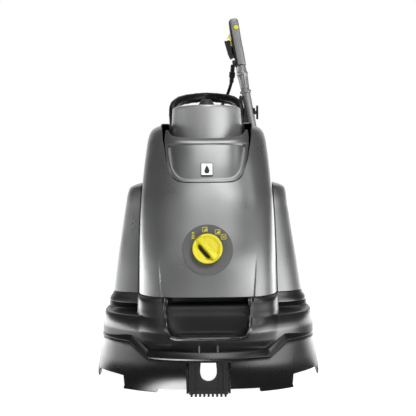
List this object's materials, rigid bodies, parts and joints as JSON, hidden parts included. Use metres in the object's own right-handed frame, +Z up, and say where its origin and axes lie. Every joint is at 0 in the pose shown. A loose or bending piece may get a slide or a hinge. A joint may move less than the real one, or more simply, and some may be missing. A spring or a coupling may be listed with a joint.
{
  "type": "hot-water pressure washer",
  "caption": "Upright wheeled hot-water pressure washer: black base, grey covers, round boiler hood, push bow, yellow rotary selector, stored spray gun and wound hose.",
  "frame": {"origin": "on the floor, under the middle of the machine's bounding box", "axes": "+Z up, -Y the front with the selector, +X to the right as seen from the front"},
  "size_m": [0.584, 0.618, 1.0016],
  "materials": {
    "grey_cover": "satin moulded plastic",
    "black_base": "satin moulded plastic",
    "black_bow": "satin",
    "rubber_feet": "matt",
    "badge_plate": "gloss",
    "flue_steel": "heat-resistant paint",
    "dark_grey": "matt",
    "zinc_steel": "zinc plated",
    "yellow_plastic": "semi-gloss",
    "switch_plastic": "matt",
    "aluminium": "cast",
    "tyre_rubber": "matt",
    "hub_plastic": "satin",
    "white_plastic": "matt",
    "black_fittings": "satin",
    "soft_grip": "matt",
    "lance_steel": "brushed",
    "gun_grey": "satin",
    "hose_rubber": "matt",
    "brass_fittings": "machined",
    "rotor_steel": "machined",
    "boiler_steel": "plain"
  },
  "bodies": {
    "machine": {"base_tray": "black_base", "bumper_skirt": "black_base", "front_foot": "black_base", "foot_pads": "rubber_feet", "carry_grip": "black_base", "front_cover": "grey_cover", "badge_cover": "grey_cover", "badge": "badge_plate", "side_cover_left": "grey_cover", "side_cover_right": "grey_cover", "rear_cover": "black_base", "top_cover": "black_base", "boiler_hood": "grey_cover", "flue_grille": "flue_steel", "flue_cap": "dark_grey", "push_bow": "black_bow", "bow_screws": "zinc_steel", "dial_plate": "dark_grey", "dial_marks": "yellow_plastic", "rotary_switch": "switch_plastic", "control_box": "aluminium", "axle": "zinc_steel", "axle_bushes": "white_plastic", "mudguard_left": "black_base", "mudguard_right": "black_base", "lance_cup": "black_fittings", "lance_holder": "black_fittings", "lance_tube": "lance_steel", "lance_sleeve": "gun_grey", "lance_grip": "gun_grey", "gun_body": "gun_grey", "gun_soft_grip": "soft_grip", "gun_hose_fitting": "black_fittings", "hose": "hose_rubber", "hose_coil": "hose_rubber", "hose_hook": "black_fittings", "hose_outlet": "brass_fittings", "water_inlet": "brass_fittings", "fuel_tank": "white_plastic", "motor": "aluminium", "pump": "brass_fittings", "boiler_shell": "boiler_steel", "heating_coil": "boiler_steel", "burner_blower": "boiler_steel", "water_tank": "white_plastic"},
    "selector": {"selector_knob": "yellow_plastic", "knob_shaft": "zinc_steel"},
    "wheel_left": {"tyre_left": "tyre_rubber", "wheel_hub_left": "hub_plastic", "hub_caps_left": "hub_plastic"},
    "wheel_right": {"tyre_right": "tyre_rubber", "wheel_hub_right": "hub_plastic", "hub_caps_right": "hub_plastic"},
    "trigger": {"trigger": "black_fittings"},
    "safety_latch": {"safety_latch": "yellow_plastic"},
    "gun_button": {"gun_button": "yellow_plastic"},
    "fuel_cap": {"fuel_cap": "yellow_plastic"},
    "cable_hook": {"cable_hook": "black_fittings"},
    "motor_rotor": {"motor_rotor": "rotor_steel"},
    "lance_collar": {"lance_collar": "gun_grey"}
  },
  "joints": [
    {"name": "selector_turn", "type": "hinge", "parent": "machine", "child": "selector", "pos_m": [0, -0.2352, 0.35], "axis": [0, 0.9744, -0.225], "range_deg": [0, 96]},
    {"name": "wheel_left_spin", "type": "hinge", "parent": "machine", "child": "wheel_left", "pos_m": [-0.265, 0.204, 0.105], "axis": [1, 0, 0], "continuous": true},
    {"name": "wheel_right_spin", "type": "hinge", "parent": "machine", "child": "wheel_right", "pos_m": [0.265, 0.204, 0.105], "axis": [1, 0, 0], "continuous": true},
    {"name": "trigger_squeeze", "type": "hinge", "parent": "machine", "child": "trigger", "pos_m": [0.08507, 0.14, 0.89156], "axis": [0, 1, 0], "range_deg": [0, 8], "stiffness_Nm_per_rad": 2, "springref_deg": -5.73},
    {"name": "latch_press", "type": "hinge", "parent": "trigger", "child": "safety_latch", "pos_m": [0.07437, 0.14, 0.91808], "axis": [0, 1, 0], "range_deg": [0, 5], "stiffness_Nm_per_rad": 0.1, "springref_deg": -5.73},
    {"name": "gun_button_press", "type": "slide", "parent": "machine", "child": "gun_button", "axis": [0, 1, 0], "range_m": [0, 0.002], "stiffness_N_per_m": 400, "springref_m": -0.001},
    {"name": "fuel_cap_turn", "type": "hinge", "parent": "machine", "child": "fuel_cap", "pos_m": [0.165, 0.248, 0.239], "axis": [0, 0, 1], "range_deg": [0, 90]},
    {"name": "cable_hook_turn", "type": "hinge", "parent": "machine", "child": "cable_hook", "pos_m": [0.1394, 0.158, 0.731], "axis": [1, 0, 0], "range_deg": [0, 180]},
    {"name": "motor_spin", "type": "hinge", "parent": "machine", "child": "motor_rotor", "pos_m": [-0.1, -0.1, 0.142], "axis": [1, 0, 0], "continuous": true},
    {"name": "lance_collar_turn", "type": "hinge", "parent": "machine", "child": "lance_collar", "pos_m": [0.11345, 0.14, 0.79101], "axis": [-0.1783, 0, 0.984], "continuous": true}
  ]
}
